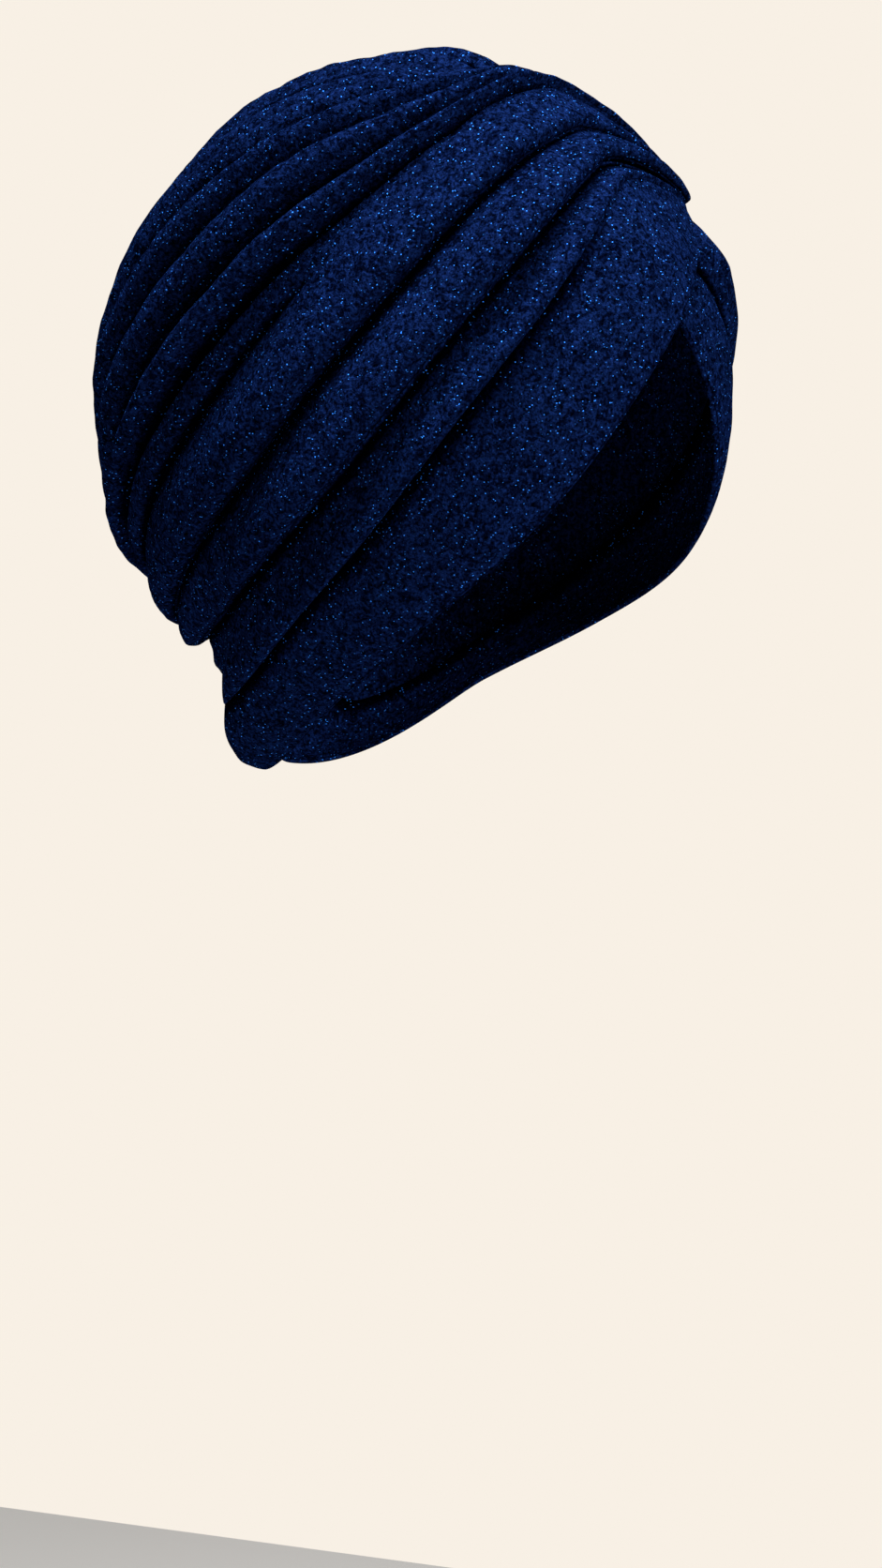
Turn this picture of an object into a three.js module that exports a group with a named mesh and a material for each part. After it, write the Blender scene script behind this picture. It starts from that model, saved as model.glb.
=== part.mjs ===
// Pleated cross-over turban headwrap, open below, in the form it keeps when worn.
// Millimetres. The front faces -Y, the wearer's right is -X and +Z is up.
// The origin is at the inside of the crown, where the top of the head bears.
import * as THREE from 'three';

// Head form inside the cloth
const headWidth = 152;
const crownHeight = 106;
const roundness = 2.15;

// Cloth
const wall = 1.6;
const gap = 0.6;
const crownGap = 0.8;
const layer = wall + gap;
const seamGap = 0.3;

// Folds
const foldHeight = 8;
const tuckWidth = 9;
const tuckMargin = 2;
const tuckRise = 5;
const edgeMargin = 3;
const crossingReach = 17;
const crossingDrop = 30;
const crossingFlat = 38;
const leftFrontAz = 5;

// Steps of each surface: along the pleats, across one pleat, across the hem band
const stepsAlong = 25;
const stepsFold = 4;
const stepsBand = 6;

// Form of the head by angle from the front, up over the top and down the back: the distance
// from the middle of the head as a share of crownHeight, and half the width as a share of
// half the headWidth.
const headForm = [
  { angle: -60, reach: 0.88, half: 1.04 },
  { angle: -30, reach: 0.92, half: 1.02 },
  { angle: 0, reach: 0.925, half: 1.02 },
  { angle: 30, reach: 0.95, half: 1.02 },
  { angle: 60, reach: 0.96, half: 1.00 },
  { angle: 90, reach: 1.00, half: 1.00 },
  { angle: 120, reach: 1.00, half: 1.00 },
  { angle: 150, reach: 0.98, half: 1.00 },
  { angle: 180, reach: 0.94, half: 1.00 },
  { angle: 205, reach: 0.93, half: 1.03 },
  { angle: 228, reach: 0.92, half: 0.94 },
  { angle: 245, reach: 1.18, half: 0.92 },
  { angle: 270, reach: 0.97, half: 1.00 },
];

// The hollows between the pleats. Each runs from the front crossing, round the side of the
// head, to the gather at the centre back. Azimuth is turned from the front towards the
// wearer's own side; elevation is up from level; both are in degrees.
const hollows = {
  hem: { frontAz: -17, frontEl: 34.5, sideAz: 54, sideEl: -41.5, backEl: -62.5, turn: 0.0 },
  leftHem: { frontAz: -18, frontEl: 34, sideAz: 37, sideEl: -42, backEl: -62.5, turn: 0.0 },
  bandTop: { frontAz: -5, frontEl: 46.5, sideAz: 76, sideEl: -28.5, backEl: -49, turn: 0.6 },
  panelTop: { frontAz: -12, frontEl: 51, sideAz: 82, sideEl: -17, backEl: -43.5, turn: 0.9 },
  low: { frontAz: -14, frontEl: 54, sideAz: 87, sideEl: 4, backEl: -41, turn: 1.0 },
  lowRear: { frontAz: -15, frontEl: 56, sideAz: 91, sideEl: 25, backEl: -37, turn: 1.0 },
  middle: { frontAz: -17, frontEl: 58, sideAz: 88, sideEl: 34, backEl: -34, turn: 1.0 },
  upper: { frontAz: -19, frontEl: 59, sideAz: 91, sideEl: 45, backEl: -32, turn: 1.0 },
  high: { frontAz: -22, frontEl: 61, sideAz: 93, sideEl: 55, backEl: -29, turn: 1.0 },
  higher: { frontAz: -24, frontEl: 62, sideAz: 95, sideEl: 62.5, backEl: -25.5, turn: 1.0 },
  highest: { frontAz: -27, frontEl: 63, sideAz: 98, sideEl: 68, backEl: -22, turn: 1.0 },
  crown: { frontAz: -30, frontEl: 64, sideAz: 101, sideEl: 73, backEl: -18, turn: 1.0 },
  crownEdge: { frontAz: -30, frontEl: 64, sideAz: 101, sideEl: 73, backEl: -13, turn: 1.0 },
  overLow: { frontAz: 5, frontEl: 66, sideAz: 100, sideEl: 78, backEl: -17, turn: 0.0 },
  overHigh: { frontAz: 5, frontEl: 67, sideAz: 100, sideEl: 85, backEl: -16, turn: 0.0 },
  overTop: { frontAz: 5, frontEl: 68, sideAz: 100, sideEl: 92, backEl: -15, turn: 0.0 },
  overFar: { frontAz: 5, frontEl: 69, sideAz: 100, sideEl: 100, backEl: -14, turn: 0.0 },
  underEdge: { frontAz: -4, frontEl: 70, sideAz: 101, sideEl: 71, backEl: -13, turn: 0.0 },
  underTuck: { frontAz: -3, frontEl: 71, sideAz: 101, sideEl: 66, backEl: -12, turn: 0.0 },
};

// The pleats that both halves share: the hollow each one ends at, its height as a share of
// foldHeight and where its ridge lies between its hollows.
const sidePleats = [
  { to: 'low', height: 0.80, ridge: 0.45 },
  { to: 'lowRear', height: 0.85, ridge: 0.50 },
  { to: 'middle', height: 0.65, ridge: 0.50 },
  { to: 'upper', height: 1.00, ridge: 0.60 },
  { to: 'high', height: 0.85, ridge: 0.50 },
  { to: 'higher', height: 0.75, ridge: 0.50 },
  { to: 'highest', height: 0.60, ridge: 0.50 },
];

// The right half ends in one more pleat; the left half carries on over the crown.
const rightPleats = [
  ...sidePleats,
  { to: 'crownEdge', height: 0.50, ridge: 0.45 },
];
const leftPleats = [
  ...sidePleats,
  { to: 'crown', height: 0.60, ridge: 0.50 },
  { to: 'overLow', height: 0.60, ridge: 0.50 },
  { to: 'overHigh', height: 0.70, ridge: 0.50 },
  { to: 'overTop', height: 0.70, ridge: 0.50 },
  { to: 'overFar', height: 0.60, ridge: 0.50 },
];

// How high the pleats stand along their length, as a share of their own height.
const alongPleats = [
  { at: 0.00, share: 0.15 },
  { at: 0.10, share: 0.60 },
  { at: 0.22, share: 0.95 },
  { at: 0.55, share: 1.00 },
  { at: 0.85, share: 0.80 },
  { at: 1.00, share: 0.45 },
];

const middleOfHead = new THREE.Vector3(0, 0, -crownHeight);

function smooth(from, to, value) {
  return THREE.MathUtils.smoothstep(value, from, to);
}

function readTable(rows, key, column, value) {
  let i = 0;
  while (i < rows.length - 2 && value > rows[i + 1][key]) {
    i += 1;
  }
  const share = (value - rows[i][key]) / (rows[i + 1][key] - rows[i][key]);
  const eased = smooth(0, 1, share);
  return rows[i][column] + (rows[i + 1][column] - rows[i][column]) * eased;
}

function direction(azimuth, elevation, side) {
  const a = THREE.MathUtils.degToRad(azimuth);
  const e = THREE.MathUtils.degToRad(elevation);
  return new THREE.Vector3(side * Math.sin(a) * Math.cos(e), -Math.cos(a) * Math.cos(e), Math.sin(e));
}

// Smooth curve through one column of the head form, closed round the head.
function headColumn(column, angle) {
  const rows = headForm;
  const turn = (k) => rows[(k + rows.length) % rows.length];
  const place = (k) => turn(k).angle + 360 * Math.floor(k / rows.length);
  let i = 0;
  while (angle > place(i + 1)) {
    i += 1;
  }
  const slope = (k) => (turn(k + 1)[column] - turn(k - 1)[column]) / (place(k + 1) - place(k - 1));
  const step = place(i + 1) - place(i);
  const u = (angle - place(i)) / step;
  return (2 * u ** 3 - 3 * u ** 2 + 1) * turn(i)[column]
    + (u ** 3 - 2 * u ** 2 + u) * step * slope(i)
    + (3 * u ** 2 - 2 * u ** 3) * turn(i + 1)[column]
    + (u ** 3 - u ** 2) * step * slope(i + 1);
}

// Distance from the middle of the head to the head form in one direction.
function headReach(dir) {
  let angle = THREE.MathUtils.radToDeg(Math.atan2(dir.z, -dir.y));
  if (angle < headForm[0].angle) {
    angle += 360;
  }
  const round = Math.hypot(dir.y, dir.z);
  const half = 1 + (headColumn('half', angle) - 1) * round ** 2;
  const across = Math.abs(dir.x) / (half * headWidth / 2);
  const along = round / (headColumn('reach', angle) * crownHeight);
  return (across ** roundness + along ** roundness) ** (-1 / roundness);
}

// Direction of a hollow at a share of the way from the crossing to the centre back.
function hollowDirection(row, side, t, hooked) {
  const front = direction(row.frontAz, row.frontEl, side);
  const mid = direction(row.sideAz, row.sideEl, side);
  const back = direction(180, row.backEl, side);
  const centre = front.clone().add(back).multiplyScalar(0.5);
  const dir = centre.clone()
    .addScaledVector(front.clone().sub(back), Math.cos(Math.PI * t) / 2)
    .addScaledVector(mid.clone().sub(centre), Math.sin(Math.PI * t));
  if (hooked) {
    const pull = (1 - smooth(0, 0.1, t)) / crownHeight;
    dir.x -= side * crossingReach * row.turn * pull;
    dir.z -= crossingDrop * row.turn * pull;
  }
  return dir.normalize();
}

function pleatShape(s, ridge) {
  const power = Math.log(0.5) / Math.log(ridge);
  return Math.sin(Math.PI * Math.min(Math.max(s, 0), 1) ** power) ** 0.75;
}

// A closed sheet of one wall thickness over a grid of directions and heights.
function sheet(name, rows, side) {
  const across = rows[0].length;
  const along = rows.length;
  const points = [];
  for (const skin of [wall, 0]) {
    for (const row of rows) {
      for (const cell of row) {
        const reach = headReach(cell.dir) + cell.height + skin;
        const p = cell.dir.clone().multiplyScalar(reach).add(middleOfHead);
        if (p.y > 0 && cell.seam) {
          p.x = side * seamGap / 2;
        }
        points.push(p.x, p.y, p.z);
      }
    }
  }
  const at = (skin, i, j) => skin * across * along + i * across + j;
  const faces = [];
  const quad = (a, b, c, d) => faces.push(a, b, c, a, c, d);
  for (let i = 0; i < along - 1; i += 1) {
    for (let j = 0; j < across - 1; j += 1) {
      quad(at(0, i, j), at(0, i + 1, j), at(0, i + 1, j + 1), at(0, i, j + 1));
      quad(at(1, i, j), at(1, i, j + 1), at(1, i + 1, j + 1), at(1, i + 1, j));
    }
    quad(at(0, i, 0), at(1, i, 0), at(1, i + 1, 0), at(0, i + 1, 0));
    quad(at(0, i + 1, across - 1), at(1, i + 1, across - 1), at(1, i, across - 1), at(0, i, across - 1));
  }
  for (let j = 0; j < across - 1; j += 1) {
    quad(at(0, 0, j + 1), at(1, 0, j + 1), at(1, 0, j), at(0, 0, j));
    quad(at(0, along - 1, j), at(1, along - 1, j), at(1, along - 1, j + 1), at(0, along - 1, j + 1));
  }
  if (side < 0) {
    for (let k = 0; k < faces.length; k += 3) {
      [faces[k + 1], faces[k + 2]] = [faces[k + 2], faces[k + 1]];
    }
  }
  const geometry = new THREE.BufferGeometry();
  geometry.setAttribute('position', new THREE.Float32BufferAttribute(points, 3));
  geometry.setIndex(faces);
  geometry.computeVertexNormals();
  const colour = new THREE.MeshStandardMaterial({ color: 0x14245c, roughness: 0.6, side: THREE.FrontSide });
  const mesh = new THREE.Mesh(geometry, colour);
  mesh.name = name;
  return mesh;
}

// Grid of one sheet: strips between neighbouring hollows, each cut into steps across.
function grid(strips, heightOf) {
  const rows = [];
  for (let i = 0; i <= stepsAlong; i += 1) {
    const t = i / stepsAlong;
    const row = [];
    strips.forEach((strip, k) => {
      const low = strip.from(t);
      const high = strip.to(t);
      const start = k === 0 ? 0 : 1;
      for (let j = start; j <= strip.steps; j += 1) {
        const s = j / strip.steps;
        const dir = low.clone().lerp(high, s).normalize();
        row.push({ dir, height: heightOf(strip, s, t, dir), seam: i === stepsAlong });
      }
    });
    rows.push(row);
  }
  return rows;
}

// Which side of the right half's crown edge a direction lies on: above zero it is bare.
const edgePoints = [0.15, 0.5, 0.9].map((t) => hollowDirection(hollows.crownEdge, -1, t, false));
const edgePlane = new THREE.Plane().setFromCoplanarPoints(...edgePoints);
if (edgePlane.distanceToPoint(new THREE.Vector3(1, 0, 0)) < 0) {
  edgePlane.negate();
}
function beyondEdge(dir) {
  return edgePlane.distanceToPoint(dir) * crownHeight;
}

// How far a direction lies from the middle of the crossing, where the left half is pressed
// flat under the right half.
const crossingMiddle = direction(-16, 50, -1);
function pressedFlat(dir) {
  return smooth(crossingFlat, 1.6 * crossingFlat, dir.distanceTo(crossingMiddle) * crownHeight);
}

// The strip of a sheet tucked under its neighbour, as a share of the pleat above it.
const tuckShare = 0.34;
const edgeShare = 0.08;

function panel(name, side) {
  const right = side < 0;
  const hook = right;
  const line = (key) => (t) => hollowDirection(hollows[key], side, t, hook);
  const above = (t) => line('panelTop')(t).lerp(line('low')(t), tuckShare).normalize();
  // The left hem is nearer the face than the right one and runs level with it at the back.
  const hem = (t) => line(right ? 'hem' : 'leftHem')(t).lerp(line('hem')(t), smooth(0.3, 0.75, t));
  const strips = [
    { name: 'band', from: hem, to: line('bandTop'), steps: stepsBand },
    { name: 'fold', from: line('bandTop'), to: line('panelTop'), steps: stepsFold },
    { name: 'tuck', from: line('panelTop'), to: above, steps: 2 },
  ];
  const lift = (t) => (right ? 2 * layer * (1 - smooth(0.1, 0.26, t)) : 0);
  return sheet(name, grid(strips, (strip, s, t) => {
    const along = readTable(alongPleats, 'at', 'share', t) * (right ? 1 : smooth(0.08, 0.2, t));
    let relief = 0;
    if (strip.name === 'band') {
      relief = 0.22 * foldHeight * Math.sin(Math.PI * s) * along;
    }
    if (strip.name === 'fold') {
      relief = 0.75 * foldHeight * pleatShape(s, 0.5) * along;
    }
    return lift(t) + relief;
  }), side);
}

function drape(name, side) {
  const right = side < 0;
  const line = (key) => {
    const row = right ? hollows[key] : { ...hollows[key], frontAz: leftFrontAz };
    return (t) => hollowDirection(row, side, t, right);
  };
  const edgeLow = (t) => line('panelTop')(t).lerp(line('low')(t), edgeShare).normalize();
  const strips = [];
  let from = edgeLow;
  for (const pleat of right ? rightPleats : leftPleats) {
    strips.push({ ...pleat, from, to: line(pleat.to), steps: stepsFold });
    from = line(pleat.to);
  }
  if (!right) {
    const edge = (t) => hollowDirection(hollows.underEdge, -1, t, false);
    const tuck = (t) => hollowDirection(hollows.underTuck, -1, t, false);
    strips.push({ from, to: edge, steps: 2, height: 0, ridge: 0.5 });
    strips.push({ from: edge, to: tuck, steps: 1, height: 0, ridge: 0.5 });
  }
  return sheet(name, grid(strips, (strip, s, t, dir) => {
    const along = readTable(alongPleats, 'at', 'share', t);
    const first = strip === strips[0];
    const nearTuck = first ? layer * (1 - smooth(tuckShare + 0.08, 0.9, s)) : 0;
    let nearEdge = 0;
    const overPanels = 1 - smooth(0.6, 2.4, strips.indexOf(strip) + s);
    let atFront = layer * overPanels * (1 - smooth(0.1, 0.2, t));
    let relief = strip.height * foldHeight * pleatShape(s, strip.ridge) * along;
    if (right) {
      const rise = smooth(-tuckWidth - tuckMargin - tuckRise, -tuckWidth - tuckMargin, beyondEdge(dir));
      nearEdge = (wall + crownGap) * rise;
      atFront = 3 * layer * overPanels * (1 - smooth(0.16, 0.34, t))
        + 2.5 * layer * (1 - overPanels) * (1 - smooth(0.12, 0.28, t));
    } else {
      relief *= smooth(edgeMargin, edgeMargin + foldHeight, beyondEdge(dir)) * pressedFlat(dir);
    }
    return Math.max(atFront + relief, Math.hypot(Math.max(nearTuck, nearEdge), relief));
  }), side);
}

const headwrap = new THREE.Group();
headwrap.name = 'turban_headwrap';
headwrap.add(panel('left_panel', 1));
headwrap.add(drape('left_drape', 1));
headwrap.add(panel('right_panel', -1));
headwrap.add(drape('right_drape', -1));

export default headwrap;
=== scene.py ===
import math

import bpy
import numpy as np
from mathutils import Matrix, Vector


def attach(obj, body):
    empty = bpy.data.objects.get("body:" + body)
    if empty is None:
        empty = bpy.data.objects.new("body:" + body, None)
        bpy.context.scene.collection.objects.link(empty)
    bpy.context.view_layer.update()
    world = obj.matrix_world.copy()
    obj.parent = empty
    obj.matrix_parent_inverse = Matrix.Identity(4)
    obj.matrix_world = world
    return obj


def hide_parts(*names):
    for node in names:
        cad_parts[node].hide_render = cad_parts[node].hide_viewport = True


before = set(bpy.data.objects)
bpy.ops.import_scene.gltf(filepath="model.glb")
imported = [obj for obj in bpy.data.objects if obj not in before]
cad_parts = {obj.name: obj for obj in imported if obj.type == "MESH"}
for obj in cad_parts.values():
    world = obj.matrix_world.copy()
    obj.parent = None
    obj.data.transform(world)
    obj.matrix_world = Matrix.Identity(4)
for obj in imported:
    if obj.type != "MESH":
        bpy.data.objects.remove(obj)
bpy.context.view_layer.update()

# The hem band and lowest pleat of the wearer's left
# A plain stretched band of crepe knit, turned at the hem, with one soft pleat along its top. Its
# top edge is tucked under the left drape and its front end lies under the right half. The form,
# pleats, cloth and knit laid out here serve the other three pieces too.

# The head form, an adult head about 195 mm long and 152 mm wide. Every sheet lies on it, so each
# is laid out from the middle of the head as a direction and a distance, in millimetres.
HEAD_WIDTH = 152.0
CROWN_HEIGHT = 106.0
ROUNDNESS = 2.15
#            angle  reach  half width, shares of CROWN_HEIGHT and of half HEAD_WIDTH
HEAD_FORM = [(-60, 0.88, 1.04), (-30, 0.92, 1.02), (0, 0.925, 1.02), (30, 0.95, 1.02),
             (60, 0.96, 1.00), (90, 1.00, 1.00), (120, 1.00, 1.00), (150, 0.98, 1.00),
             (180, 0.94, 1.00), (205, 0.93, 1.03), (224, 0.955, 0.96), (236, 0.93, 0.86),
             (245, 1.18, 0.92), (270, 0.97, 1.00)]


def smooth(low, high, value):
    u = np.clip((np.asarray(value, float) - low) / (high - low), 0, 1)
    return u * u * (3 - 2 * u)


def unit(vectors):
    return vectors / np.linalg.norm(vectors, axis=-1, keepdims=True)


def direction(azimuth, elevation, side):
    a, e = math.radians(azimuth), math.radians(elevation)
    return np.array([side * math.sin(a) * math.cos(e), -math.cos(a) * math.cos(e), math.sin(e)])


def head_column(column, angle):
    start = [row[0] for row in HEAD_FORM] + [HEAD_FORM[0][0] + 360]
    value = [row[column] for row in HEAD_FORM] + [HEAD_FORM[0][column]]
    n = len(HEAD_FORM)
    slope = []
    for k in range(n + 1):
        before, after = (k - 1) % n, (k + 1) % n
        turn = (360 if k == 0 else 0) + (360 if k >= n - 1 else 0)
        step = HEAD_FORM[after][0] - HEAD_FORM[before][0] + (turn if k != n else 360)
        step = step % 360
        slope.append((HEAD_FORM[after][column] - HEAD_FORM[before][column]) / step)
    start, value, slope = np.array(start, float), np.array(value), np.array(slope)
    i = np.clip(np.searchsorted(start, angle, side="right") - 1, 0, n - 1)
    step = start[i + 1] - start[i]
    u = (angle - start[i]) / step
    return ((2 * u**3 - 3 * u**2 + 1) * value[i] + (u**3 - 2 * u**2 + u) * step * slope[i]
            + (3 * u**2 - 2 * u**3) * value[i + 1] + (u**3 - u**2) * step * slope[i + 1])


def head_reach(dirs):
    angle = np.degrees(np.arctan2(dirs[..., 2], -dirs[..., 1]))
    angle = np.where(angle < HEAD_FORM[0][0], angle + 360, angle)
    level = np.hypot(dirs[..., 1], dirs[..., 2])
    half = 1 + (head_column(2, angle) - 1) * level**2
    across = np.abs(dirs[..., 0]) / (half * HEAD_WIDTH / 2)
    along = level / (head_column(1, angle) * CROWN_HEIGHT)
    return (across**ROUNDNESS + along**ROUNDNESS) ** (-1 / ROUNDNESS)


# Hollows run from the front crossing, round the side of the head, to the gather at the
# centre back. The right half crosses over the left, turns down at the front and ends there.
WALL = 1.6
GAP = 0.6
LAYER = WALL + GAP
CROWN_GAP = 0.8
FOLD = 9.5
CROSSING_REACH = 17.0
CROSSING_DROP = 30.0
CROSSING_FLAT = 38.0
CROSSING_RISE = 4.5
CROWN_FILL = 4.4
LEFT_FRONT = 5.0
#   name          front az, el   side az, el  back el  turn down  wander, mm
HOLLOWS = {
    "hem": (-17, 34.5, 54, -41.5, -62.5, 0.0, 0.0),
    "left_hem": (-24, 32, 32, -42, -62.5, 0.0, 0.0),
    "band_top": (-10, 49.8, 76, -28.5, -49, 0.82, 1.4),
    "left_band_top": (-14, 38, 62, -30, -49, 0.0, 1.2),
    "panel_top": (-12, 51, 82, -17, -43.5, 0.9, 1.3),
    "low": (-14, 54, 87, 4, -41, 1.0, 1.2),
    "low_rear": (-15, 56, 91, 25, -37, 1.0, 1.0),
    "middle": (-17, 58, 88, 34, -34, 1.0, 1.2),
    "upper": (-19, 59, 91, 45, -32, 1.0, 1.1),
    "high": (-22, 61, 93, 55, -29, 1.0, 1.0),
    "higher": (-24, 62, 95, 62.5, -25.5, 1.0, 0.9),
    "highest": (-27, 63, 98, 68, -22, 1.0, 0.9),
    "crown": (-30, 64, 101, 73, -18, 1.0, 0.9),
    "crown_edge": (-30, 64, 101, 73, -13, 1.0, 0.0),
    "over_low": (5, 66, 100, 78, -17, 0.0, 1.0),
    "over_high": (5, 67, 100, 85, -16, 0.0, 1.0),
    "over_top": (5, 68, 100, 92, -15, 0.0, 1.0),
    "over_far": (5, 69, 100, 100, -14, 0.0, 0.8),
    "under_edge": (-4, 70, 101, 71, -13, 0.0, 0.0),
    "under_tuck": (-3, 71, 101, 66, -18, 0.0, 0.0),
}


def hollow(name, side, t, hooked, front_azimuth=None):
    fa, fe, sa, se, be, turn, wander = HOLLOWS[name]
    fa = fa if front_azimuth is None else front_azimuth
    front, mid, back = direction(fa, fe, side), direction(sa, se, side), direction(180, be, side)
    centre = (front + back) / 2
    t = np.asarray(t)[:, None]
    dirs = (centre + (front - back) / 2 * np.cos(math.pi * t)
            + (mid - centre) * np.sin(math.pi * t))
    seed = sum(map(ord, name)) + (7 if side > 0 else 0)
    drift = np.sin(t * 9.0 + seed) + 0.6 * np.sin(t * 21.0 + 2.3 * seed)
    fade = smooth(0.08, 0.25, t) * (1 - smooth(0.86, 0.99, t))
    lift = np.array([0.25 * side, 0.0, 1.0])
    dirs = dirs + lift * drift * fade * wander / CROWN_HEIGHT / 1.6
    if hooked:
        pull = (1 - smooth(0, 0.1, t)) / CROWN_HEIGHT
        dirs = dirs - np.array([side * CROSSING_REACH, 0, CROSSING_DROP]) * turn * pull
    return unit(dirs)


def table(rows, t):
    at = [row[0] for row in rows]
    value = [row[1] for row in rows]
    i = np.clip(np.searchsorted(at, t, side="right") - 1, 0, len(rows) - 2)
    at, value = np.array(at), np.array(value)
    return value[i] + (value[i + 1] - value[i]) * smooth(0, 1, (t - at[i]) / (at[i + 1] - at[i]))


def ripples(points, length, seed, waves=9):
    rng = np.random.default_rng(seed)
    out = np.zeros(points.shape[:-1])
    for _ in range(waves):
        way = unit(rng.normal(size=3)) * (2 * math.pi / length) * rng.uniform(0.7, 1.4)
        out += np.sin(points @ way + rng.uniform(0, 2 * math.pi))
    return out / math.sqrt(waves / 2)


# How high the pleats stand along their length, and how much of a hollow shows, as rows of
# (place along the pleat, share).
ALONG = [(0.0, 0.22), (0.10, 0.42), (0.22, 0.82), (0.55, 1.0), (0.80, 0.86), (0.92, 0.93),
         (0.968, 0.68), (1.0, 0.12)]
NAPE_ALONG = [(0.0, 0.22), (0.10, 0.42), (0.22, 0.82), (0.55, 1.0), (0.74, 0.84), (0.85, 0.58),
              (0.95, 0.42), (1.0, 0.12)]
DART = [(0.0, 0.0), (0.06, 0.15), (0.22, 0.9), (0.35, 1.0), (1.0, 1.0)]
FAR_DART = [(0.0, 0.0), (0.05, 0.1), (0.13, 1.0), (1.0, 1.0)]
FAR_ALONG = [(0.0, 0.22), (0.06, 0.35), (0.16, 0.9), (0.55, 1.0), (0.80, 0.86), (0.92, 0.93),
             (0.968, 0.68), (1.0, 0.12)]
REAR = [(0.0, 0.0), (0.38, 0.05), (0.55, 0.8), (0.7, 1.0), (1.0, 1.0)]
FULL = [(0.0, 1.0), (1.0, 1.0)]

# The cloth's own form: how sharp a crease is, its puckers as (length, seed, size), its slack,
# the pinched gathers, the turned edges and the centre-back seam, in millimetres.
CREASE = 0.62
PUCKERS = [(7.0, 3, 0.10), (17.0, 5, 0.16)]
SLACK_LENGTH, SLACK_SEED, SLACK = 38.0, 11, 0.30
PINCH = 0.55
EDGE_TURN = 0.9
SEAM_LAP = 0.05
SEAM_START, SEAM_REACH, SEAM_TOP = 0.995, 0.9, -60.0


def strip(start, end, steps, height, ridge, lean, **more):
    return dict({"from": start, "to": end, "steps": steps, "height": height, "ridge": ridge,
                 "lean": lean}, **more)


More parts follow.
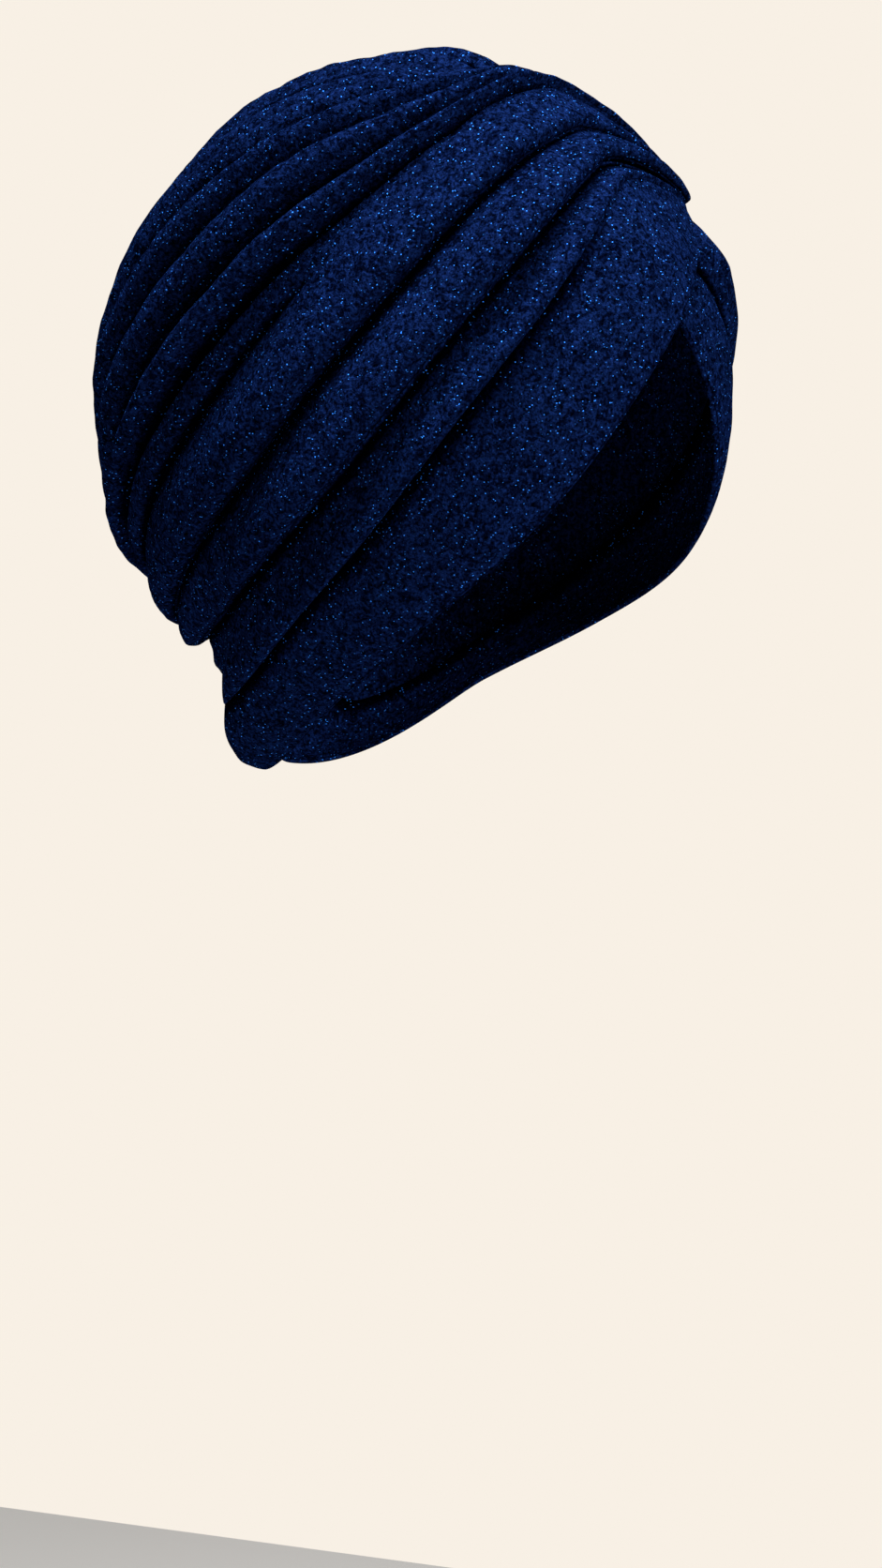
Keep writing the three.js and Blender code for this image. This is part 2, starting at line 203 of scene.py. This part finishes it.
def cloth(name, side, strips, lift_of, steps_along=210):
    """A sheet of knit one wall thick, made of strips between hollows; lift_of says how far it
    is held off the head and how high its pleats stand."""
    u = np.linspace(0, 1, steps_along + 1)
    t = 0.5 * u + 0.5 * (0.5 - 0.5 * np.cos(math.pi * u))
    n = len(strips)
    heights = [part["height"] for part in strips]
    dirs, acrosses, relief, share, number, near_low, near_high = [], [], [], [], [], [], []
    hollows = []
    for k, part in enumerate(strips):
        s = np.linspace(0, 1, part["steps"] + 1)
        s = 0.55 * s + 0.45 * (0.5 - 0.5 * np.cos(math.pi * s))
        if k == 0:
            s = np.concatenate([[0, 0.004, 0.012, 0.024], s[1:]])
        if k == n - 1:
            s = np.concatenate([s[:-1], [0.965, 0.985, 0.995, 1]])
        if k > 0:
            s = s[1:]
        low, high = part["from"](t), part["to"](t)
        d = unit(low[:, None] * (1 - s)[None, :, None] + high[:, None] * s[None, :, None])
        gap = np.linalg.norm(high - low, axis=1)
        power = math.log(0.5) / math.log(part["ridge"])
        shape = np.sin(math.pi * s**power) ** part.get("round", CREASE)
        below = table(part.get("below", FULL), t)[:, None]
        above = table(part.get("above", FULL), t)[:, None]
        deep = np.where(s[None] < part["ridge"], below, above)
        shape = 1 - deep * (1 - shape[None])
        before = heights[k - 1] if k > 0 else heights[k]
        after = heights[k + 1] if k < n - 1 else heights[k]
        h = np.where(s < part["ridge"],
                     heights[k] + (before - heights[k]) / 2 * (1 - smooth(0, part["ridge"], s)),
                     heights[k] + (after - heights[k]) / 2 * smooth(part["ridge"], 1, s))
        dirs.append(d)
        acrosses.append(np.repeat(unit(high - low + 1e-9)[:, None], len(s), 1))
        relief.append(shape * h[None] * FOLD * table(part.get("along", ALONG), t)[:, None])
        # Painted shade: a share of colour darkening that grows toward each hollow, none on the
        # open hem edge.
        open_edge = (s < part["ridge"]) & part.get("hem", False)
        shade = np.clip(1 - shape, 0, 1) ** part.get("shade", 1)
        hollows.append(np.where(open_edge[None], 0, shade))
        share.append(np.repeat(s[None], len(t), 0))
        number.append(np.full((len(t), len(s)), k))
        near_low.append(gap[:, None] * s * 100 if k == 0 else np.full((len(t), len(s)), 99.0))
        near_high.append(gap[:, None] * (1 - s) * 100 if k == n - 1
                         else np.full((len(t), len(s)), 99.0))
    dirs, acrosses = np.concatenate(dirs, 1), np.concatenate(acrosses, 1)
    relief, share = np.concatenate(relief, 1), np.concatenate(share, 1)
    hollows = np.concatenate(hollows, 1)
    number = np.concatenate(number, 1)
    rim = np.minimum(np.concatenate(near_low, 1), np.concatenate(near_high, 1))
    tt = np.repeat(t[:, None], dirs.shape[1], 1)
    reach = head_reach(dirs)
    lift, relief = lift_of(number, share, tt, dirs, relief)
    base = dirs * reach[..., None]
    gather = np.exp(-((1 - tt) / 0.10) ** 2) * smooth(0.0, 0.012, 1 - tt)
    pinch = gather * np.sin(number * 2.1 + share * 15.0 + 3 * tt) * PINCH
    pucker = sum(ripples(base, length, seed) * size for length, seed, size in PUCKERS)
    body = relief / FOLD
    slack = ripples(base, SLACK_LENGTH, SLACK_SEED) * SLACK * np.clip(body, 0.1, 1)
    flat = smooth(0.4, 3.0, rim)
    height = lift + relief + (pucker + slack) * flat * np.clip(0.35 + body, 0, 1)
    height = np.maximum(height + pinch * flat * np.clip(body * 2, 0, 1), lift)
    lean = np.array([part["lean"] for part in strips])[number]
    lean = lean * (1 - 0.8 * smooth(0.86, 1, tt))
    thin = np.sqrt(np.clip(1 - (1 - np.clip(rim / EDGE_TURN, 0, 1)) ** 2, 0.02, 1))
    middle = np.array([0.0, 0.0, -CROWN_HEIGHT])
    skins = []
    for sign in (1, -1):
        r = reach + height + WALL / 2 + sign * WALL / 2 * thin
        p = middle + dirs * r[..., None] - acrosses * (lean * relief)[..., None]
        keep = side * -SEAM_LAP
        x = np.where((p[..., 1] > 0) & (tt > SEAM_START), keep, p[..., 0])
        own = (side * dirs[..., 0] > -0.0005) & (p[..., 1] > 0) & (tt > SEAM_REACH)
        over = own & (side * x < -SEAM_LAP) & (p[..., 2] < SEAM_TOP)
        p[..., 0] = np.where(over, keep, x)
        skins.append(p)
    rows, cols = tt.shape
    verts = np.concatenate([skins[0].reshape(-1, 3), skins[1].reshape(-1, 3)]) * 0.001
    i, j = np.meshgrid(np.arange(rows - 1), np.arange(cols - 1), indexing="ij")
    a = (i * cols + j).ravel()
    outer = np.stack([a, a + cols, a + cols + 1, a + 1], 1)
    under = outer[:, ::-1] + rows * cols
    ring = np.concatenate([np.arange(cols), np.arange(1, rows) * cols + cols - 1,
                           (rows - 1) * cols + np.arange(cols - 2, -1, -1),
                           np.arange(rows - 2, 0, -1) * cols])
    nxt = np.roll(ring, -1)
    edge = np.stack([ring, nxt, nxt + rows * cols, ring + rows * cols], 1)
    quads = np.concatenate([outer, under, edge])
    if side < 0:
        quads = quads[:, ::-1]
    mesh = bpy.data.meshes.new(name)
    mesh.from_pydata(verts.tolist(), [], quads.tolist())
    mesh.update()
    mesh.shade_smooth()
    # The 'hollow' attribute carries the painted crease shade that the knit multiplies into its
    # colour.
    shaded = mesh.attributes.new("hollow", "FLOAT", "POINT")
    shaded.data.foreach_set("value", np.tile(hollows.ravel(), 2).astype(np.float32))
    obj = bpy.data.objects.new(name, mesh)
    bpy.context.collection.objects.link(obj)
    step = np.linalg.norm(np.cross(skins[0][1:, 1:] - skins[0][:-1, :-1],
                                   skins[0][1:, :-1] - skins[0][:-1, 1:]), axis=-1) / 2
    print(f"{name}: {2 * len(quads)} triangles, one skin {step.sum() * 1e-6:.4f} m2")
    return obj


# Navy lurex crepe knit
# A crinkled crepe jersey with fine blue metallic yarn that shows as scattered dots and
# dashes; the lit cloth is navy, and painted shade darkens its colour toward the hollows to near
# black.
def linear(hex_colour):
    parts = [int(hex_colour[k:k + 2], 16) / 255 for k in (1, 3, 5)]
    return [c / 12.92 if c <= 0.04045 else ((c + 0.055) / 1.055) ** 2.4 for c in parts] + [1.0]


def add(nodes, kind, **inputs):
    node = nodes.new(kind)
    for key, value in inputs.items():
        name = key.replace("_", " ")
        if name in node.inputs:
            node.inputs[name].default_value = value
        else:
            setattr(node, key, value)
    return node


def sparkle_layer(nodes, links, coords, scale, stretch, size, share, seed):
    place = add(nodes, "ShaderNodeMapping", Scale=stretch, Location=(seed, seed * 1.7, seed * 0.6))
    links.new(coords, place.inputs["Vector"])
    cells = add(nodes, "ShaderNodeTexVoronoi", Scale=scale, Randomness=1.0)
    links.new(place.outputs["Vector"], cells.inputs["Vector"])
    dot = add(nodes, "ShaderNodeMapRange")
    dot.inputs["From Min"].default_value = size
    dot.inputs["From Max"].default_value = size * 0.55
    links.new(cells.outputs["Distance"], dot.inputs["Value"])
    pick = add(nodes, "ShaderNodeSeparateColor")
    links.new(cells.outputs["Color"], pick.inputs["Color"])
    chosen = add(nodes, "ShaderNodeMapRange")
    chosen.inputs["From Min"].default_value = 1 - share
    chosen.inputs["From Max"].default_value = 1 - share * 0.35
    links.new(pick.outputs["Red"], chosen.inputs["Value"])
    both = add(nodes, "ShaderNodeMath", operation="MULTIPLY")
    links.new(dot.outputs["Result"], both.inputs[0])
    links.new(chosen.outputs["Result"], both.inputs[1])
    return both.outputs["Value"]


knit = bpy.data.materials.new("crepe_knit_lurex_navy")
knit.use_nodes = True
nodes, links = knit.node_tree.nodes, knit.node_tree.links
shader = nodes["Principled BSDF"]
shader.inputs["Roughness"].default_value = 0.62
shader.inputs["Specular IOR Level"].default_value = 0.0
coords = add(nodes, "ShaderNodeTexCoord").outputs["Object"]
crepe = add(nodes, "ShaderNodeTexNoise", Scale=1100.0, Detail=3.0, Roughness=0.65)
links.new(coords, crepe.inputs["Vector"])
mottle = add(nodes, "ShaderNodeTexNoise", Scale=430.0, Detail=2.0, Roughness=0.5,
             Distortion=1.2)
links.new(coords, mottle.inputs["Vector"])
ground = add(nodes, "ShaderNodeValToRGB")
ground.color_ramp.elements[0].position = 0.36
ground.color_ramp.elements[0].color = linear("#01020C")
ground.color_ramp.elements[1].position = 0.66
ground.color_ramp.elements[1].color = linear("#091A43")
links.new(crepe.outputs["Fac"], ground.inputs["Fac"])
shade = add(nodes, "ShaderNodeMix", data_type="RGBA", blend_type="MULTIPLY")
shade.inputs["Factor"].default_value = 0.85
links.new(ground.outputs["Color"], shade.inputs["A"])
patch = add(nodes, "ShaderNodeValToRGB")
patch.color_ramp.elements[0].position = 0.38
patch.color_ramp.elements[0].color = linear("#2C2C38")
patch.color_ramp.elements[1].position = 0.60
patch.color_ramp.elements[1].color = linear("#FFFFFF")
links.new(mottle.outputs["Fac"], patch.inputs["Fac"])
links.new(patch.outputs["Color"], shade.inputs["B"])
# Painted shade: the 'hollow' attribute darkens the knit's colour, to grey near the creases and
# near black in them.
painted_shade_amount = add(nodes, "ShaderNodeAttribute", attribute_name="hollow")
painted_shade_ramp = add(nodes, "ShaderNodeValToRGB")
painted_shade_ramp.color_ramp.elements[0].position = 0.46
painted_shade_ramp.color_ramp.elements[0].color = linear("#FFFFFF")
painted_shade_ramp.color_ramp.elements[1].position = 1.0
painted_shade_ramp.color_ramp.elements[1].color = linear("#0E0E12")
painted_underside_shade = painted_shade_ramp.color_ramp.elements.new(0.72)
painted_underside_shade.color = linear("#50505A")
links.new(painted_shade_amount.outputs["Fac"], painted_shade_ramp.inputs["Fac"])
with_painted_shade = add(nodes, "ShaderNodeMix", data_type="RGBA", blend_type="MULTIPLY")
with_painted_shade.inputs["Factor"].default_value = 1.0
links.new(shade.outputs["Result"], with_painted_shade.inputs["A"])
links.new(painted_shade_ramp.outputs["Color"], with_painted_shade.inputs["B"])
dots = sparkle_layer(nodes, links, coords, 680.0, (1, 1, 1), 0.17, 0.42, 0.0)
dashes = sparkle_layer(nodes, links, coords, 700.0, (0.5, 1.0, 1.5), 0.17, 0.5, 3.0)
both = add(nodes, "ShaderNodeMath", operation="MAXIMUM")
links.new(dots, both.inputs[0])
links.new(dashes, both.inputs[1])
tinted = add(nodes, "ShaderNodeMix", data_type="RGBA")
links.new(both.outputs["Value"], tinted.inputs["Factor"])
links.new(with_painted_shade.outputs["Result"], tinted.inputs["A"])
tinted.inputs["B"].default_value = linear("#2C7CE6")
links.new(tinted.outputs["Result"], shader.inputs["Base Color"])
metal = add(nodes, "ShaderNodeMath", operation="MULTIPLY")
links.new(both.outputs["Value"], metal.inputs[0])
metal.inputs[1].default_value = 0.5
links.new(metal.outputs["Value"], shader.inputs["Metallic"])
crinkle = add(nodes, "ShaderNodeBump", Strength=0.75, Distance=0.0011)
links.new(crepe.outputs["Fac"], crinkle.inputs["Height"])
pebble = add(nodes, "ShaderNodeBump", Strength=0.5, Distance=0.0016)
links.new(mottle.outputs["Fac"], pebble.inputs["Height"])
links.new(crinkle.outputs["Normal"], pebble.inputs["Normal"])
links.new(pebble.outputs["Normal"], shader.inputs["Normal"])


def finish_sheet(obj, node):
    obj.data.materials.append(knit)
    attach(obj, "root")
    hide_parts(node)


# The band's strips run from the hem to its crease, over the lowest pleat and on into the tuck.
TUCK_SHARE = 0.34
EDGE_SHARE = 0.08


def panel_strips(side, hem, crease):
    right = side < 0

    def line(key):
        return lambda t: hollow(key, side, t, right)

    def tuck(t):
        return unit(line("panel_top")(t) * (1 - TUCK_SHARE) + line("low")(t) * TUCK_SHARE)

    def hem_line(t):
        level = smooth(0.3, 0.75, t)[:, None]
        return unit(line(hem)(t) * (1 - level) + line("hem")(t) * level)

    dart = DART if right else FAR_DART
    along = ALONG if right else FAR_ALONG
    return [
        strip(hem_line, line(crease), steps=26, height=0.24, ridge=0.5, lean=0.0, round=1.0,
              above=dart, hem=True),
        strip(line(crease), line("panel_top"), steps=18, height=0.95, ridge=0.40, lean=0.60,
              below=dart, along=along),
        strip(line("panel_top"), tuck, steps=4, height=0.0, ridge=0.5, lean=0.0),
    ]


def left_panel_lift(number, share, t, dirs, relief):
    return np.zeros_like(t), relief * smooth(0.05, 0.12, t)


left_panel = cloth("left_panel_knit", 1, panel_strips(1, "left_hem", "left_band_top"),
                   left_panel_lift)
finish_sheet(left_panel, "left_panel")


# The pleated half of the wearer's left
# A pleated sheet that runs from under the crossing over the crown to the centre-back seam, with
# its upper edge tucked under the right half.
#                hollow above, height, ridge, lean, hollow depth below and above
SIDE_PLEATS = [("low", 1.10, 0.40, 0.55, FULL, FULL),
               ("low_rear", 1.05, 0.42, 0.55, FULL, REAR),
               ("middle", 0.72, 0.50, 0.30, REAR, FULL),
               ("upper", 1.60, 0.50, 0.50, FULL, FULL),
               ("high", 1.20, 0.52, 0.50, FULL, FULL),
               ("higher", 1.05, 0.50, 0.50, FULL, FULL),
               ("highest", 0.75, 0.50, 0.30, FULL, FULL)]
OVER_PLEATS = [("crown", 0.66, 0.46, 0.35, FULL, FULL),
               ("over_low", 0.62, 0.50, 0.2, FULL, FULL),
               ("over_high", 0.72, 0.50, 0.15, FULL, FULL),
               ("over_top", 0.72, 0.50, 0.0, FULL, FULL),
               ("over_far", 0.62, 0.50, 0.0, FULL, FULL)]
# The hollow above this pleat opens into a wide valley, darkened by the light and across its
# width by painted shade, and these pleats end at the nape.
WIDE_VALLEY = "upper"
# WIDE_SHADE and CREASE_SHADE set how far the painted crease shade spreads from a hollow.
WIDE_ROUND, WIDE_SHADE = 1.35, 0.42
CREASE_SHADE = 0.85
TO_NAPE = ("low", "low_rear", "middle", "upper", "high", "higher")


def drape_strips(side, pleats, front_azimuth, steps):
    right = side < 0

    def line(key):
        return lambda t: hollow(key, side, t, right, front_azimuth)

    def edge_low(t):
        return unit(line("panel_top")(t) * (1 - EDGE_SHARE) + line("low")(t) * EDGE_SHARE)

    strips, start = [], edge_low
    for to, height, ridge, lean, below, above in pleats:
        wide = to == WIDE_VALLEY
        strips.append(strip(start, line(to), steps=steps, height=height, ridge=ridge, lean=lean,
                            below=below, above=above,
                            round=WIDE_ROUND if wide else CREASE,
                            shade=WIDE_SHADE if wide else CREASE_SHADE,
                            along=NAPE_ALONG if to in TO_NAPE else ALONG))
        start = line(to)
    return strips


seam_edge = [hollow("crown_edge", -1, np.array([v]), False)[0] for v in (0.15, 0.5, 0.9)]
edge_normal = unit(np.cross(seam_edge[1] - seam_edge[0], seam_edge[2] - seam_edge[0]))
if edge_normal[0] < 0:
    edge_normal = -edge_normal
crossing_middle = direction(-16, 50, -1)


def drape_lift(number, share, t, over_panels, side, dirs, relief):
    near_tuck = np.where(number == 0, LAYER * (1 - smooth(TUCK_SHARE + 0.08, 0.9, share)), 0)
    bare = (dirs @ edge_normal - seam_edge[1] @ edge_normal) * CROWN_HEIGHT
    if side < 0:
        at_front = (3 * LAYER * over_panels * (1 - smooth(0.16, 0.34, t))
                    + 2.5 * LAYER * (1 - over_panels) * (1 - smooth(0.12, 0.28, t))
                    + CROSSING_RISE * (1 - over_panels) * smooth(0.03, 0.12, t)
                    * (1 - smooth(0.2, 0.42, t)) * (1 - smooth(-26, -3, bare)))
        near_tuck = np.maximum(near_tuck, (WALL + CROWN_GAP) * smooth(-16, -11, bare))
    else:
        away = np.linalg.norm(dirs - crossing_middle, axis=-1) * CROWN_HEIGHT
        relief = relief * smooth(3, 11, bare) * smooth(CROSSING_FLAT,
                                                       1.6 * CROSSING_FLAT, away)
        at_front = (LAYER * over_panels * (1 - smooth(0.1, 0.2, t))
                    + CROWN_FILL * smooth(-2, 8, bare) * (1 - smooth(35, 80, away)))
    height = np.maximum(at_front + relief, np.hypot(near_tuck, relief))
    low = np.maximum(at_front, near_tuck)
    return low, height - low


def left_drape_lift(number, share, t, dirs, relief):
    over = 1 - smooth(0.6, 2.4, number + share)
    return drape_lift(number, share, t, over, 1, dirs, relief)


def under_edge(t):
    return hollow("under_edge", -1, t, False)


def under_tuck(t):
    return hollow("under_tuck", -1, t, False)


left_strips = drape_strips(1, SIDE_PLEATS + OVER_PLEATS, LEFT_FRONT, 13)
left_strips.append(strip(left_strips[-1]["to"], under_edge, steps=8, height=0.0, ridge=0.5,
                         lean=0.0))
left_strips.append(strip(under_edge, under_tuck, steps=4, height=0.0, ridge=0.5, lean=0.0))
left_drape = cloth("left_drape_knit", 1, left_strips, left_drape_lift)
finish_sheet(left_drape, "left_drape")


# The hem band and lowest pleat of the wearer's right
# The mirror of the left band, cut longer so that its front end crosses over the left half.
def right_panel_lift(number, share, t, dirs, relief):
    return 2 * LAYER * (1 - smooth(0.1, 0.26, t)), relief


right_panel = cloth("right_panel_knit", -1, panel_strips(-1, "hem", "band_top"),
                    right_panel_lift)
finish_sheet(right_panel, "right_panel")


# The pleated half of the wearer's right
# The sheet on top: its pleats gather at the crossing, turn down over the front and run round
# the side to the centre-back seam; its crown edge lies over the left half.
RIGHT_PLEATS = SIDE_PLEATS + [("crown_edge", 0.52, 0.45, 0.2, FULL, FULL)]


def right_drape_lift(number, share, t, dirs, relief):
    over = 1 - smooth(0.6, 2.4, number + share)
    return drape_lift(number, share, t, over, -1, dirs, relief)


right_drape = cloth("right_drape_knit", -1, drape_strips(-1, RIGHT_PLEATS, None, 14),
                    right_drape_lift)
finish_sheet(right_drape, "right_drape")


# The studio
# A pale plain floor well below the wrap, a pale plain background and soft light.
bpy.ops.object.select_all(action="DESELECT")
bpy.ops.mesh.primitive_plane_add(size=5.0, location=(0, 0, 0))
floor = bpy.context.object
floor.name = "studio_floor"
bpy.ops.object.mode_set(mode="EDIT")
bpy.ops.mesh.select_all(action="SELECT")
bpy.ops.transform.translate(value=(0, 0, -1.2))
bpy.ops.object.mode_set(mode="OBJECT")
paint = bpy.data.materials.new("painted_floor_cream")
paint.use_nodes = True
paint.node_tree.nodes["Principled BSDF"].inputs["Base Color"].default_value = linear("#FAFAFA")
paint.node_tree.nodes["Principled BSDF"].inputs["Roughness"].default_value = 0.9
floor.data.materials.append(paint)

world = bpy.data.worlds.new("studio")
bpy.context.scene.world = world
world.use_nodes = True
sky = world.node_tree
way = add(sky.nodes, "ShaderNodeTexCoord")
height = add(sky.nodes, "ShaderNodeSeparateXYZ")
sky.links.new(way.outputs["Generated"], height.inputs["Vector"])
band = add(sky.nodes, "ShaderNodeMapRange")
band.inputs["From Min"].default_value = -1.0
sky.links.new(height.outputs["Z"], band.inputs["Value"])
fade = add(sky.nodes, "ShaderNodeValToRGB")
fade.color_ramp.elements[0].position = 0.0
fade.color_ramp.elements[1].position = 1.0
for at, colour in [(0.30, "#3E3C39"), (0.36, "#F8F0E5"), (0.58, "#F8F0E5"), (0.68, "#74706A")]:
    stop = fade.color_ramp.elements.new(at)
    stop.color = linear(colour)
fade.color_ramp.elements[0].color = linear("#3E3C39")
fade.color_ramp.elements[-1].color = linear("#74706A")
sky.links.new(band.outputs["Result"], fade.inputs["Fac"])
sky.links.new(fade.outputs["Color"], sky.nodes["Background"].inputs["Color"])
world.node_tree.nodes["Background"].inputs["Strength"].default_value = 1.0
bpy.context.scene.view_settings.view_transform = "Standard"

VIEW_AZIMUTH, VIEW_ELEVATION, VIEW_DISTANCE = -61.6, 4.5, 1.450
METRES_PER_PIXEL = 0.0002985
a, e = math.radians(VIEW_AZIMUTH), math.radians(VIEW_ELEVATION)
back = Vector((math.sin(a) * math.cos(e), -math.cos(a) * math.cos(e), math.sin(e)))
right = Vector((math.cos(a), math.sin(a), 0))
up = back.cross(right)
middle = Vector((0, 0, -CROWN_HEIGHT / 1000))
aim = middle + right * (470.5 - 447.0) * METRES_PER_PIXEL - up * (836.0 - 440.0) * METRES_PER_PIXEL


def area_light(name, offset, size, power, colour):
    light = bpy.data.lights.new(name, "AREA")
    light.shape = "SQUARE"
    light.size = size
    light.energy = power
    light.color = linear(colour)[:3]
    obj = bpy.data.objects.new(name, light)
    bpy.context.collection.objects.link(obj)
    obj.location = middle + right * offset[0] + up * offset[1] + back * offset[2]
    obj.rotation_euler = (middle - obj.location).to_track_quat("-Z", "Y").to_euler()


area_light("key", (-0.10, 1.30, 0.40), 0.35, 80.0, "#FFFFFF")
area_light("front", (1.0, 0.55, 0.9), 0.5, 38.0, "#FFFFFF")

camera = bpy.data.cameras.new("photo_view")
camera_obj = bpy.data.objects.new("photo_view", camera)
bpy.context.collection.objects.link(camera_obj)
camera.sensor_width = 36.0
camera.lens = VIEW_DISTANCE / METRES_PER_PIXEL / 1672 * 36.0
camera.clip_end = 30.0
camera_obj.location = aim + back * VIEW_DISTANCE
camera_obj.rotation_euler = back.to_track_quat("Z", "Y").to_euler()
bpy.context.scene.camera = camera_obj
